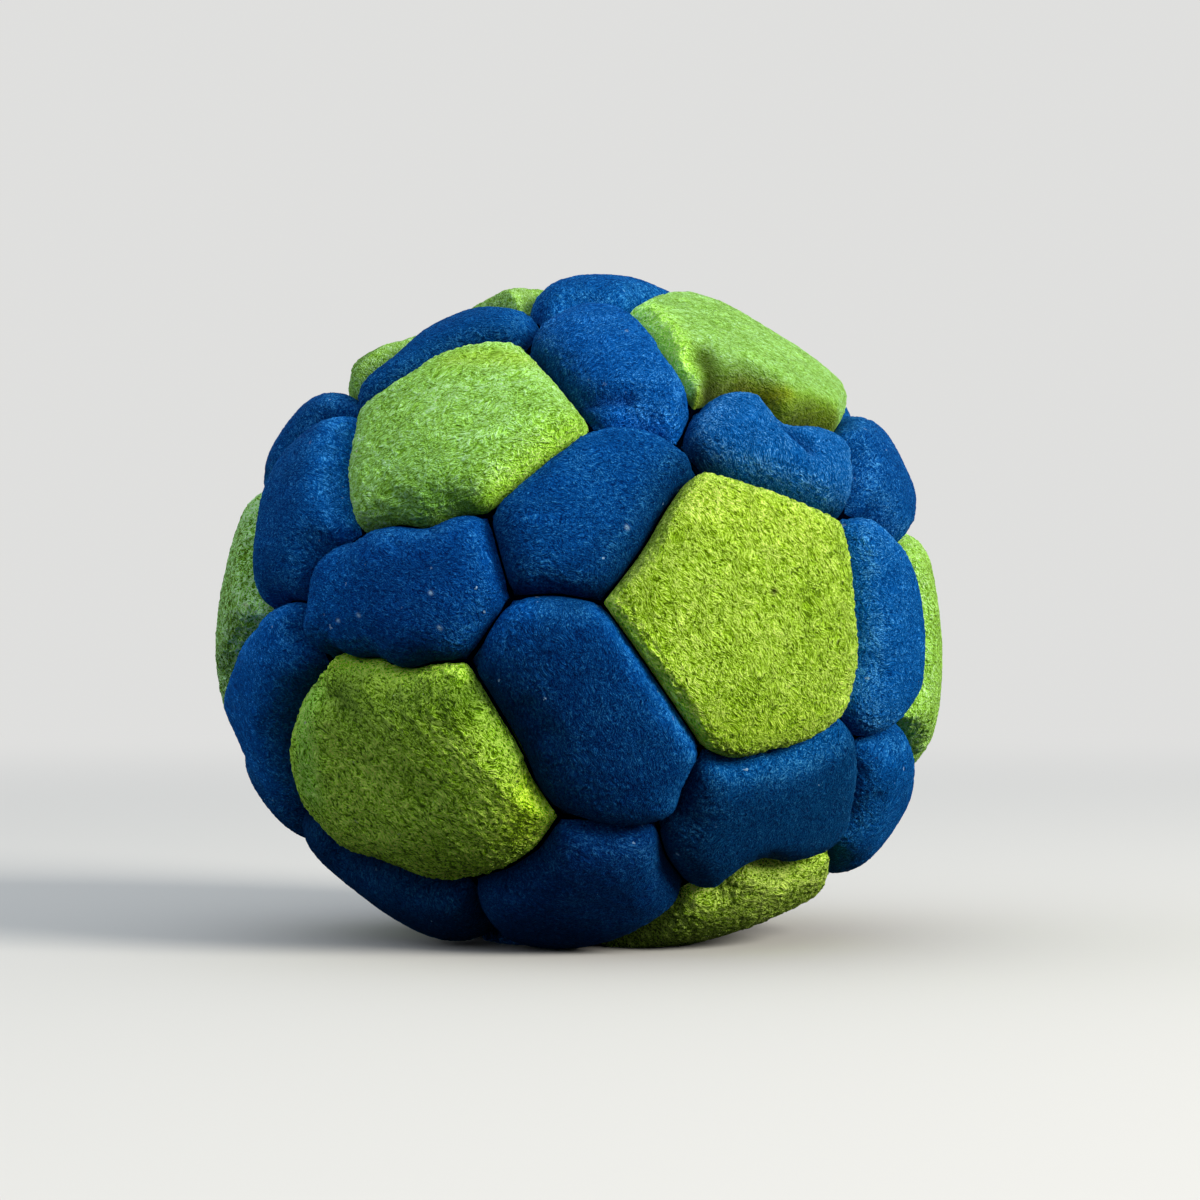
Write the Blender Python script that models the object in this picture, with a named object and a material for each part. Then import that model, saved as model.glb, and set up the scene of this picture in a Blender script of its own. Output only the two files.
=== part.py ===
"""A footbag of forty-two suede panels: twelve green pentagons and thirty blue hexagons, sewn inside out.

The bag stands on its pressed-flat underside at z = 0 and is seen along +Y. The pattern has the twelve
pentagons at the corners of an icosahedron, named a to l, with one hexagon between each two neighbours.
Three hexagons meet at the middle of each icosahedron face. Each panel is a tray: a crowned outer skin, a
rounded shoulder and a seam allowance that is turned inwards. One net of thread lies in the grooves, and the
loose fill swells up into the trays.
"""

import math

import bmesh
import bpy
from mathutils import Euler, Vector

# Sizes of the bag
SEAM_HALF_WIDTH = 0.0257
SEAM_HALF_DEPTH = 0.0256
SEAM_HALF_HEIGHT = 0.0250
CENTRE_HEIGHT = 0.0236
SEAM_REST_HEIGHT = 0.0013
SETTLE_BLEND = 0.004

# How far the bag has slumped in round its rim, and bulged out at the left
RIGHT_SLUMP = 0.0013
RIGHT_SHOULDER_SLUMP = 0.0006
TOP_RIGHT_SLUMP = 0.0011
TOP_SLUMP = 0.0004
TOP_LEFT_SLUMP = 0.0017
LEFT_BULGE_DEPTH = 0.0007
LOW_LEFT_SLUMP = 0.0021
LOW_RIGHT_SLUMP = 0.0028

# Sizes of a panel
SUEDE_THICKNESS = 0.0008
SEAM_ALLOWANCE = 0.0022
FOLD_DEPTH = 0.00075
LOW_SHOULDER_INSET = 0.0006
LOW_SHOULDER_HEIGHT = 0.0002
HIGH_SHOULDER_HEIGHT = 0.0017
INNER_SHOULDER_HEIGHT = 0.0007
HEXAGON_CROWN = 0.0027
PENTAGON_CROWN = 0.0024
SHOULDER_SHARE = 0.1
CROWN_RING_SHARE = 0.42
CROWN_RING_HEIGHT_SHARE = 0.95

# Sizes of the thread and the clearances
THREAD_THICKNESS = 0.0003
PANEL_GAP = 0.0003
FILL_GAP = 0.0003

# Straight steps along a pentagon's side, and along a seam between two hexagons
SIDE_STEPS = 3
SPOKE_STEPS = 2

# The pattern: pole A, two rings of five and pole L, turned as the photograph shows it
FIRST_RING = "BCEFD"
SECOND_RING = "GIJKH"
PATTERN_TURN_DEGREES = (-87.4, -40.5, -154.8)
PENTAGON_CORNER_SHARE = 0.646

# The view that the pixel coordinates below belong to
VIEW_CENTRE_PIXEL = (588, 630)
VIEW_FOCAL_PIXELS = 3312
VIEW_DISTANCE_SHARE = 10
VIEW_SHAPE_SHARES = (1.0, 0.996, 0.973)

# How far the edge seen at a seam stands proud of it at the rim, and how that falls off towards the middle
SEEN_EDGE_RISE = 0.0025
SEEN_EDGE_POWER = 2.2
PLACING_STEPS = 8
PLACING_SHARE = 0.8

# Seam corners read by eye, where the nearer panel's edge is seen. P.QR is the corner of pentagon P towards
# the face PQR, and PQR is the middle of that face.
CORNER_PIXELS = {
    "ABC": (512, 598),
    "ABD": (679, 446),
    "ACE": (657, 823),
    "ADF": (850, 512),
    "AEF": (857, 743),
    "BCG": (310, 604),
    "BDH": (543, 320),
    "BGH": (349, 409),
    "A.BC": (602, 603),
    "A.BD": (701, 475),
    "A.CE": (701, 747),
    "A.DF": (836, 523),
    "A.EF": (840, 711),
    "B.AC": (489, 515),
    "B.AD": (592, 430),
    "B.CG": (361, 534),
    "B.DH": (523, 347),
    "B.GH": (361, 414),
    "C.AB": (468, 661),
    "C.AE": (560, 818),
    "C.BG": (327, 663),
    "C.EI": (470, 884),
    "C.GI": (313, 816),
    "D.AB": (694, 408),
    "D.AF": (837, 433),
    "D.BH": (625, 311),
    "E.AC": (689, 889),
    "E.AF": (831, 844),
    "F.AD": (901, 547),
    "F.AE": (903, 718),
    "G.BC": (261, 614),
    "G.BH": (271, 481),
    "H.BD": (522, 304),
    "H.BG": (350, 389),
}

# Points at which the nearer panel's edge is seen to pass between a curved seam's two corners
SEAM_PIXELS = {
    "A.BC A.BD": ((640, 553), (668, 506), (683, 486)),
    "A.BC ABC": ((557, 595),),
    "A.CE A.EF": ((722, 756), (758, 751), (803, 738)),
    "A.CE ACE": ((683, 787), (675, 808)),
    "A.DF A.EF": ((846, 565), (850, 610), (852, 660)),
    "ABD B.AD": ((635, 431),),
    "ACE E.AC": ((667, 858),),
    "ADF D.AF": ((851, 480), (848, 452)),
    "ADF F.AD": ((866, 515), (883, 530)),
    "AEF E.AF": ((852, 790), (846, 822)),
    "AEF F.AE": ((880, 735),),
    "B.AC B.CG": ((462, 516), (430, 527), (395, 525)),
    "B.CG B.GH": ((351, 490), (355, 445)),
    "B.CG BCG": ((326, 558),),
    "B.DH B.GH": ((490, 348), (448, 358), (402, 387)),
    "BCG C.BG": ((309, 632),),
    "BCG G.BC": ((287, 600),),
    "BDH D.BH": ((580, 308),),
    "BDH H.BD": ((532, 308),),
    "BGH G.BH": ((320, 425), (290, 453)),
    "C.AB C.AE": ((497, 709), (521, 750), (537, 788)),
    "C.AE C.EI": ((536, 852), (508, 871)),
    "C.BG C.GI": ((303, 700), (292, 745), (300, 785)),
    "C.EI C.GI": ((435, 880), (400, 868), (352, 852)),
    "D.AB D.AF": ((728, 393), (752, 397), (776, 422), (806, 424)),
    "D.AB D.BH": ((674, 372), (651, 336)),
    "E.AC E.AF": ((716, 882), (730, 869), (744, 860), (778, 862), (806, 856)),
    "G.BC G.CI": ((236, 655), (234, 695)),
    "F.AD F.AE": ((912, 590), (917, 645), (914, 690)),
    "H.BD H.BG": ((468, 310), (425, 335), (385, 364)),
    "H.BG H.GL": ((339, 381),),
}

# Where the bag has slumped in, or out where the depth is negative: angle in degrees round the rim as the view
# shows it, anticlockwise from the right, depth, and spread in radians
SLUMPS = (
    (10, RIGHT_SLUMP, 0.40),
    (32, RIGHT_SHOULDER_SLUMP, 0.18),
    (56, TOP_RIGHT_SLUMP, 0.22),
    (84, TOP_SLUMP, 0.20),
    (116, TOP_LEFT_SLUMP, 0.26),
    (193, -LEFT_BULGE_DEPTH, 0.30),
    (232, LOW_LEFT_SLUMP, 0.26),
    (295, LOW_RIGHT_SLUMP, 0.26),
)

# Panels that are filled slacker or fuller than the rest, as shares of the crown
CROWN_SHARES = {
    "blue_hexagon_bh": 0.78,
    "green_pentagon_h": 1.05,
}

# Colour, roughness and metallic value of each material
GREEN_SUEDE = ("green_suede", (0.30, 0.48, 0.06), 0.95, 0.0)
BLUE_SUEDE = ("blue_suede", (0.008, 0.06, 0.21), 0.92, 0.0)
DARK_THREAD = ("dark_thread", (0.01, 0.02, 0.05), 0.7, 0.0)
PELLETS = ("pellets", (0.72, 0.70, 0.64), 0.6, 0.0)


def clear_scene():
    for thing in list(bpy.data.objects):
        bpy.data.objects.remove(thing, do_unlink=True)


def make_material(name, colour, roughness, metallic):
    material = bpy.data.materials.new(name)
    material.use_nodes = True
    shader = material.node_tree.nodes["Principled BSDF"]
    shader.inputs["Base Color"].default_value = (*colour, 1.0)
    shader.inputs["Roughness"].default_value = roughness
    shader.inputs["Metallic"].default_value = metallic
    return material


def pentagon_centres():
    """Direction of each pentagon's middle, by its letter."""
    turn = Euler([math.radians(angle) for angle in PATTERN_TURN_DEGREES], "XYZ").to_matrix()
    ring_rise = math.atan(1 / 2)
    step = math.tau / len(FIRST_RING)
    centres = {"A": Vector((0, 0, 1)), "L": Vector((0, 0, -1))}
    for index, letter in enumerate(FIRST_RING):
        centres[letter] = direction_at(step * index, ring_rise)
    for index, letter in enumerate(SECOND_RING):
        centres[letter] = direction_at(step * index + step / 2, -ring_rise)
    return {letter: turn @ centres[letter] for letter in sorted(centres)}


def direction_at(azimuth, rise):
    flat = math.cos(rise)
    return Vector((flat * math.cos(azimuth), flat * math.sin(azimuth), math.sin(rise)))


def are_neighbours(first, second):
    """Whether two pentagons' middles are joined by an edge of the icosahedron."""
    return first != second and first.dot(second) > 0


def find_faces(centres):
    """The twenty icosahedron faces, each as its three letters in order."""
    letters = sorted(centres)
    faces = []
    for a in letters:
        for b in letters:
            for c in letters:
                in_order = a < b < c
                near = are_neighbours(centres[a], centres[b]) and are_neighbours(centres[b], centres[c])
                if in_order and near and are_neighbours(centres[a], centres[c]):
                    faces.append(a + b + c)
    return faces


def seen_direction(pixel):
    """Direction of the seam point that the view shows at a pixel. A ray past the rim gives the rim."""
    shape = Vector(VIEW_SHAPE_SHARES)
    eye = Vector((0, -VIEW_DISTANCE_SHARE / shape.y, 0))
    across = (pixel[0] - VIEW_CENTRE_PIXEL[0]) / VIEW_FOCAL_PIXELS
    up = (VIEW_CENTRE_PIXEL[1] - pixel[1]) / VIEW_FOCAL_PIXELS
    ray = Vector((across / shape.x, 1 / shape.y, up / shape.z)).normalized()
    passing = eye - ray * eye.dot(ray)
    depth = math.sqrt(max(0, 1 - passing.length_squared))
    return (passing - ray * depth).normalized()


def corner_name(pentagon, face):
    return pentagon + "." + face.replace(pentagon, "")


def seam_corners(centres, faces):
    """Direction of every seam corner, by its name."""
    corners = {}
    for face in faces:
        middle = sum((centres[letter] for letter in face), Vector()).normalized()
        corners[face] = middle
        for letter in face:
            corners[corner_name(letter, face)] = centres[letter].slerp(middle, PENTAGON_CORNER_SHARE)
    for name, pixel in CORNER_PIXELS.items():
        corners[name] = placed_direction(pixel)
    return corners


def seen_edge_rise(direction):
    """How far the nearer panel's edge stands proud of a seam where the view is slanting."""
    slant = math.acos(max(-1, min(1, -direction.y))) / (math.pi / 2)
    return SEEN_EDGE_RISE * slant**SEEN_EDGE_POWER


def view_pixel(point):
    """Pixel at which the view shows a point of the bag."""
    raised = Vector((point.x, point.y, point.z - CENTRE_HEIGHT))
    placed = Vector(share * part / size for share, part, size in zip(VIEW_SHAPE_SHARES, raised, half_sizes()))
    scale = VIEW_FOCAL_PIXELS / (VIEW_DISTANCE_SHARE + placed.y)
    return Vector((VIEW_CENTRE_PIXEL[0] + placed.x * scale, VIEW_CENTRE_PIXEL[1] - placed.z * scale))


def placed_direction(pixel):
    """Direction of the seam point whose nearer edge is seen at a pixel, on the slumped bag."""
    wanted = Vector(pixel)
    aim = wanted.copy()
    for _ in range(PLACING_STEPS):
        direction = seen_direction(aim)
        shown = view_pixel(skin_point(direction, seen_edge_rise(direction), 0))
        aim += (wanted - shown) * PLACING_SHARE
    return seen_direction(aim)


def along_seam(corners, start, end, share):
    """Direction at a share of the way along a seam, through the points that it is seen to pass."""
    first, last = min(start, end), max(start, end)
    passed = [placed_direction(pixel) for pixel in SEAM_PIXELS.get(first + " " + last, ())]
    knots = [corners[first], *passed, corners[last]]
    lengths = [(after - before).length for before, after in zip(knots, knots[1:])]
    left = sum(lengths) * (share if start < end else 1 - share)
    for before, after, length in zip(knots, knots[1:], lengths):
        if left <= length:
            return before.slerp(after, left / length)
        left -= length
    return knots[-1]


def seam_steps(corners, start, end):
    """Names and directions of the points along a seam, from its start up to but not with its end."""
    is_side = "." in start and "." in end
    steps = SIDE_STEPS if is_side else SPOKE_STEPS
    points = []
    for index in range(steps):
        place = index if start < end else steps - index
        name = (min(start, end), max(start, end), place) if index else start
        points.append((name, along_seam(corners, start, end, index / steps)))
    return points


def close_outline(corners, names):
    """A panel's outline as names and directions of its points, anticlockwise from outside."""
    middle = sum((corners[name] for name in names), Vector())
    turning = corners[names[0]].cross(corners[names[1]]).dot(middle)
    if turning < 0:
        names = names[::-1]
    outline = []
    for start, end in zip(names, names[1:] + names[:1]):
        outline += seam_steps(corners, start, end)
    return outline


def pentagon_outline(corners, faces, letter):
    around = [face for face in faces if letter in face]
    ordered = [around.pop()]
    while around:
        beside = next(face for face in around if len(set(face) & set(ordered[-1])) == 2)
        ordered.append(beside)
        around.remove(beside)
    return close_outline(corners, [corner_name(letter, face) for face in ordered])


def hexagon_outline(corners, faces, first, second):
    left, right = [face for face in faces if first in face and second in face]
    names = [corner_name(first, left), left, corner_name(second, left)]
    names += [corner_name(second, right), right, corner_name(first, right)]
    return close_outline(corners, names)


def panel_outlines():
    """Every panel's outline, by node name."""
    centres = pentagon_centres()
    faces = find_faces(centres)
    corners = seam_corners(centres, faces)
    outlines = {}
    for letter in centres:
        outlines["green_pentagon_" + letter.lower()] = pentagon_outline(corners, faces, letter)
    for first in centres:
        for second in centres:
            if first < second and are_neighbours(centres[first], centres[second]):
                name = "blue_hexagon_" + (first + second).lower()
                outlines[name] = hexagon_outline(corners, faces, first, second)
    return outlines


def half_sizes():
    return Vector((SEAM_HALF_WIDTH, SEAM_HALF_DEPTH, SEAM_HALF_HEIGHT))


def settled(height):
    """Height of a seam point once the bag's weight has pressed its underside flat."""
    meeting = max(0, SETTLE_BLEND - abs(height - SEAM_REST_HEIGHT))
    return max(height, SEAM_REST_HEIGHT) + meeting * meeting / (4 * SETTLE_BLEND)


def skin_point(direction, rise, lowest):
    """The point that lies a rise above the seam surface in a direction, and no lower than lowest."""
    sizes = half_sizes()
    point = Vector(size * part for size, part in zip(sizes, direction))
    normal = Vector(part / size for size, part in zip(sizes, direction)).normalized()
    for angle, depth, spread in SLUMPS:
        rim = Vector((math.cos(math.radians(angle)), 0, math.sin(math.radians(angle))))
        away = direction.angle(rim) / spread
        point -= normal * (depth * math.exp(-away * away))
    point.z = settled(point.z + CENTRE_HEIGHT)
    point += normal * rise
    point.z = max(point.z, lowest)
    return point


def inset_ring(outline, inset, rise, lowest=0, drawn_share=0):
    """Points an inset inside an outline, with mitred corners, and a rise above the seam surface.

    A drawn share moves them on towards the panel's middle.
    """
    sizes = half_sizes()
    middle = panel_middle(outline)
    points = [Vector(size * part for size, part in zip(sizes, step)) for _, step in outline]
    ring = []
    for index, point in enumerate(points):
        following = points[(index + 1) % len(points)]
        normal = Vector(part / size for size, part in zip(sizes, outline[index][1])).normalized()
        inward_before = normal.cross(point - points[index - 1]).normalized()
        inward_after = normal.cross(following - point).normalized()
        mitre = (inward_before + inward_after) / (1 + inward_before.dot(inward_after))
        moved = point + mitre * inset
        direction = Vector(part / size for size, part in zip(sizes, moved)).normalized()
        ring.append(skin_point(direction.slerp(middle, drawn_share), rise, lowest))
    return ring


def panel_middle(outline):
    return sum((step for _, step in outline), Vector()).normalized()


def join_rings(mesh, first, second):
    """Faces between two rings, facing out where the second ring lies round the first."""
    for index in range(len(first)):
        after = (index + 1) % len(first)
        mesh.faces.new((first[index], second[index], second[after], first[after]))


def cap_ring(mesh, ring, point):
    """A cap that faces out, from an anticlockwise ring to a point."""
    top = mesh.verts.new(point)
    for index in range(len(ring)):
        mesh.faces.new((ring[index], ring[(index + 1) % len(ring)], top))


def finish_object(mesh, name, material):
    bmesh.ops.triangulate(mesh, faces=mesh.faces[:])
    data = bpy.data.meshes.new(name)
    mesh.to_mesh(data)
    mesh.free()
    data.materials.append(material)
    data.shade_smooth()
    data.set_sharp_from_angle(angle=math.radians(50))
    made = bpy.data.objects.new(name, data)
    bpy.context.scene.collection.objects.link(made)
    return made


def inner_rise(crown):
    """Rise of the suede's inner face at the middle of a panel."""
    return crown - SUEDE_THICKNESS


def make_panel(name, outline, crown, material):
    """A sewn panel: from its crown over the shoulder, down the turned-in allowance and back inside."""
    edge = PANEL_GAP / 2
    inner_edge = edge + SUEDE_THICKNESS
    rings = [
        inset_ring(outline, LOW_SHOULDER_INSET, crown * CROWN_RING_HEIGHT_SHARE, 0, CROWN_RING_SHARE),
        inset_ring(outline, LOW_SHOULDER_INSET, HIGH_SHOULDER_HEIGHT, 0, SHOULDER_SHARE),
        inset_ring(outline, LOW_SHOULDER_INSET, LOW_SHOULDER_HEIGHT),
        inset_ring(outline, edge, -FOLD_DEPTH),
        inset_ring(outline, edge, -SEAM_ALLOWANCE),
        inset_ring(outline, inner_edge, -SEAM_ALLOWANCE),
        inset_ring(outline, inner_edge, INNER_SHOULDER_HEIGHT, SUEDE_THICKNESS, SHOULDER_SHARE),
    ]
    middle = panel_middle(outline)
    mesh = bmesh.new()
    loops = [[mesh.verts.new(point) for point in ring] for ring in rings]
    cap_ring(mesh, loops[0], skin_point(middle, crown, 0))
    for first, second in zip(loops, loops[1:]):
        join_rings(mesh, first, second)
    cap_ring(mesh, loops[-1][::-1], skin_point(middle, inner_rise(crown), SUEDE_THICKNESS))
    return finish_object(mesh, name, material)


def make_thread(outlines, material):
    """One net of thread along every seam: a square cord, joined by a small triangle at each corner."""
    half = THREAD_THICKNESS / 2
    mesh = bmesh.new()
    tops, bottoms = {}, {}
    for outline in outlines.values():
        top = [mesh.verts.new(point) for point in inset_ring(outline, half, half)]
        bottom = [mesh.verts.new(point) for point in inset_ring(outline, half, -half)]
        join_rings(mesh, bottom, top)
        for index, (name, _) in enumerate(outline):
            following = outline[(index + 1) % len(outline)][0]
            for layer, ring in ((tops, top), (bottoms, bottom)):
                near, far = ring[index], ring[(index + 1) % len(ring)]
                layer.setdefault(name, []).append(near)
                seam = frozenset((name, following))
                layer.setdefault(seam, []).append((near, far))
    for layer in (tops, bottoms):
        for name, met in layer.items():
            if isinstance(name, frozenset):
                (near, far), (other_near, other_far) = met
                mesh.faces.new((far, near, other_far, other_near))
            elif isinstance(name, str):
                mesh.faces.new(met)
    bmesh.ops.recalc_face_normals(mesh, faces=mesh.faces[:])
    return finish_object(mesh, "seam_thread", material)


def make_fill(outlines, crowns, material):
    """The loose fill, as one body that swells up into every panel's tray."""
    floor = SUEDE_THICKNESS + FILL_GAP
    below_skirts = -SEAM_ALLOWANCE - FILL_GAP
    wall = PANEL_GAP / 2 + SUEDE_THICKNESS + FILL_GAP
    swell_rise = INNER_SHOULDER_HEIGHT - FILL_GAP
    mesh = bmesh.new()
    shared = {}
    for name, outline in outlines.items():
        for step_name, direction in outline:
            if step_name not in shared:
                shared[step_name] = mesh.verts.new(skin_point(direction, below_skirts, floor))
        seam = [shared[step_name] for step_name, _ in outline]
        foot = [mesh.verts.new(point) for point in inset_ring(outline, wall, below_skirts, floor)]
        swell = inset_ring(outline, wall, swell_rise, floor, SHOULDER_SHARE)
        shoulder = [mesh.verts.new(point) for point in swell]
        top = skin_point(panel_middle(outline), inner_rise(crowns[name]) - FILL_GAP, floor)
        join_rings(mesh, foot, seam)
        join_rings(mesh, shoulder, foot)
        cap_ring(mesh, shoulder, top)
    return finish_object(mesh, "pellet_fill", material)


def centre_on_origin(parts):
    """Moves every piece so that the bag's box is centred over the origin."""
    corners = [vertex.co for part in parts for vertex in part.data.vertices]
    for axis in (0, 1):
        places = [corner[axis] for corner in corners]
        shift = (min(places) + max(places)) / 2
        for part in parts:
            part.location[axis] = -shift


def build():
    clear_scene()
    green = make_material(*GREEN_SUEDE)
    blue = make_material(*BLUE_SUEDE)
    outlines = panel_outlines()
    crowns = {}
    parts = []
    for name, outline in outlines.items():
        is_green = name.startswith("green")
        crowns[name] = (PENTAGON_CROWN if is_green else HEXAGON_CROWN) * CROWN_SHARES.get(name, 1)
        parts.append(make_panel(name, outline, crowns[name], green if is_green else blue))
    parts.append(make_thread(outlines, make_material(*DARK_THREAD)))
    parts.append(make_fill(outlines, crowns, make_material(*PELLETS)))
    centre_on_origin(parts)


if __name__ == "__main__":
    build()
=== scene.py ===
"""A sewn suede footbag on a pale floor: forty-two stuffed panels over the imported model.

Each panel is a closed body of napped suede. Its outer skin swells from a deep seam groove over a rounded
shoulder to a low crown, and its seam allowance is turned inwards. Lengths are in metres.
"""

import functools
import itertools
import math

import bpy
import numpy as np
from mathutils import Euler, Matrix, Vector


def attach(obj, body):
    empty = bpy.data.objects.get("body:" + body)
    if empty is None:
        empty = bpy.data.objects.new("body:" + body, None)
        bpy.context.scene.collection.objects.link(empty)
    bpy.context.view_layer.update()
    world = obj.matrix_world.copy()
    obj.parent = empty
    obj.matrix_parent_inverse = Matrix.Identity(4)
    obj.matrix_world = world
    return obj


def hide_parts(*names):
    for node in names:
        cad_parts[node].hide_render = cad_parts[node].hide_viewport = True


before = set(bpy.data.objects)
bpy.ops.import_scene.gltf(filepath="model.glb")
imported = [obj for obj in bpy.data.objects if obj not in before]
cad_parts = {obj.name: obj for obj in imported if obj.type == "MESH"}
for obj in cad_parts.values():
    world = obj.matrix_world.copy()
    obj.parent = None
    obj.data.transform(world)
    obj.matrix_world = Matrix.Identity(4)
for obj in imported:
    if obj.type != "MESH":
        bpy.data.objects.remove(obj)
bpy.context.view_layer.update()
scene = bpy.context.scene

# Sizes of the bag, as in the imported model
HALF_SIZES = np.array((0.0257, 0.0256, 0.0250))
CENTRE_HEIGHT = 0.0236
SEAM_REST_HEIGHT = 0.0013
SETTLE_BLEND = 0.004
MEAN_RADIUS = 0.0255
SUEDE_THICKNESS = 0.0008
SEAM_ALLOWANCE = 0.0022
FOLD_DEPTH = 0.00075
PANEL_GAP = 0.00014

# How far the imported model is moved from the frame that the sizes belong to, so that its box is centred
BAG_SHIFT = np.array((0.000628, 0.0000145, 0.0))

# The pattern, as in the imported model
FIRST_RING = "BCEFD"
SECOND_RING = "GIJKH"
PATTERN_TURN_DEGREES = (-87.4, -40.5, -154.8)
PENTAGON_CORNER_SHARE = 0.646
VIEW_CENTRE_PIXEL = (588, 630)
VIEW_FOCAL_PIXELS = 3312
VIEW_DISTANCE_SHARE = 10
VIEW_SHAPE_SHARES = (1.0, 0.996, 0.973)
IMAGE_PIXELS = 1200

# Seam corners read off where the nearer panel's edge is seen. P.QR is the corner of pentagon P towards
# the face PQR, and PQR is the middle of that face.
CORNER_PIXELS = {
    "ABC": (512, 598), "ABD": (679, 446), "ACE": (657, 823), "ADF": (850, 512), "AEF": (857, 743),
    "BCG": (310, 604), "BDH": (543, 320), "BGH": (349, 409),
    "A.BC": (602, 603), "A.BD": (701, 475), "A.CE": (701, 747), "A.DF": (836, 523), "A.EF": (840, 711),
    "B.AC": (489, 515), "B.AD": (592, 430), "B.CG": (361, 534), "B.DH": (523, 347), "B.GH": (361, 414),
    "C.AB": (468, 661), "C.AE": (560, 818), "C.BG": (327, 663), "C.EI": (470, 884), "C.GI": (313, 816),
    "D.AB": (694, 408), "D.AF": (837, 433), "D.BH": (625, 311),
    "E.AC": (689, 889), "E.AF": (831, 844),
    "F.AD": (901, 547), "F.AE": (903, 718),
    "G.BC": (261, 614), "G.BH": (271, 481),
    "H.BD": (522, 304), "H.BG": (350, 389),
}

# Points that the nearer panel's edge is seen to pass between a curved seam's two corners
SEAM_PIXELS = {
    "A.BC A.BD": ((640, 553), (668, 506), (683, 486)), "A.BC ABC": ((557, 595),),
    "A.CE A.EF": ((722, 756), (758, 751), (803, 738)), "A.CE ACE": ((683, 787), (675, 808)),
    "A.DF A.EF": ((846, 565), (850, 610), (852, 660)), "ABD B.AD": ((635, 431),),
    "ACE E.AC": ((667, 858),), "ADF D.AF": ((851, 480), (848, 452)), "ADF F.AD": ((866, 515), (883, 530)),
    "AEF E.AF": ((852, 790), (846, 822)), "AEF F.AE": ((880, 735),),
    "B.AC B.CG": ((462, 516), (430, 527), (395, 525)), "B.CG B.GH": ((351, 490), (355, 445)),
    "B.CG BCG": ((326, 558),), "B.DH B.GH": ((490, 348), (448, 358), (402, 387)),
    "BCG C.BG": ((309, 632),), "BCG G.BC": ((287, 600),), "BDH D.BH": ((580, 308),),
    "BDH H.BD": ((532, 308),), "BGH G.BH": ((320, 425), (290, 453)),
    "C.AB C.AE": ((497, 709), (521, 750), (537, 788)),
    "C.AB C.BG": ((440, 662), (400, 668), (384, 660), (350, 657), (341, 652)),
    "C.AE C.EI": ((536, 852), (508, 871)), "C.BG C.GI": ((303, 700), (292, 745), (300, 785)),
    "C.EI C.GI": ((435, 880), (400, 868), (352, 852)),
    "D.AB D.AF": ((728, 393), (752, 397), (776, 422), (806, 424)), "D.AB D.BH": ((674, 372), (651, 336)),
    "E.AC E.AF": ((716, 882), (730, 869), (744, 860), (778, 862), (806, 856)),
    "G.BC G.CI": ((236, 655), (234, 695)), "F.AD F.AE": ((912, 590), (917, 645), (914, 690)),
    "H.BD H.BG": ((468, 310), (425, 335), (385, 364)), "H.BG H.GL": ((339, 381),),
}

# Where the bag has slumped in, or out where the depth is negative: degrees round the rim from the right,
# anticlockwise in the view, depth, and spread in radians
SLUMPS = (
    (10, 0.0013, 0.40),
    (32, 0.0006, 0.18),
    (56, 0.0011, 0.22),
    (84, 0.0004, 0.20),
    (116, 0.0017, 0.26),
    (193, -0.0007, 0.30),
    (232, 0.0021, 0.26),
    (295, 0.0028, 0.26),
)

# The tables below name a panel by the letters that its node's name ends in.

# Crown, shoulder width, shoulder power and corner rounding of a panel
HEXAGON_FORM = (0.0027, 0.0036, 2.2, 0.0013)
PENTAGON_FORM = (0.0024, 0.0026, 2.3, 0.0006)
PANEL_FORMS = {
    "a": (0.0024, 0.0021, 2.3, 0.0006),
    "c": (0.0027, 0.0075, 2.0, 0.0008),
}

# How much steeper a panel's shoulder is at one seam than at the others. Below one it is lower and wider.
SHOULDER_FACTORS = {
    "a": {"A.BC A.CE": 1.6, "A.BC A.BD": 1.8, "A.DF A.EF": 0.75},
    "c": {"C.AB C.AE": 3.4, "C.AB C.BG": 2.0, "C.BG C.GI": 2.4, "C.EI C.GI": 1.6},
    "ac": {"C.AB C.AE": 0.36, "A.BC A.CE": 1.7},
    "ab": {"A.BC A.BD": 0.75, "B.AC B.AD": 1.2},
    "bd": {"D.AB D.BH": 1.3},
    "d": {"D.AB D.AF": 1.5, "D.AB D.BH": 2.2},
    "h": {"H.BD H.BG": 2.2},
}

# Panels that are filled slacker or fuller than the rest, as shares of the crown
CROWN_SHARES = {
    "bh": 0.78, "h": 1.05,
}

# Soft hollows as read off: panel, first pixel, last pixel, half width and depth
HOLLOWS = (
    ("ac", (524, 715), (540, 738), 0.0011, 0.0007),
    ("bd", (572, 390), (626, 394), 0.0007, 0.0007),
    ("ad", (782, 422), (810, 448), 0.0007, 0.0007),
    ("b", (398, 508), (462, 494), 0.0013, 0.0003),
    ("d", (702, 358), (713, 382), 0.0010, 0.0006),
    ("a", (616, 606), (684, 640), 0.0016, 0.0003),
    ("c", (314, 690), (344, 712), 0.0010, 0.0004),
    ("c", (344, 756), (420, 800), 0.0020, 0.0003),
)
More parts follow.
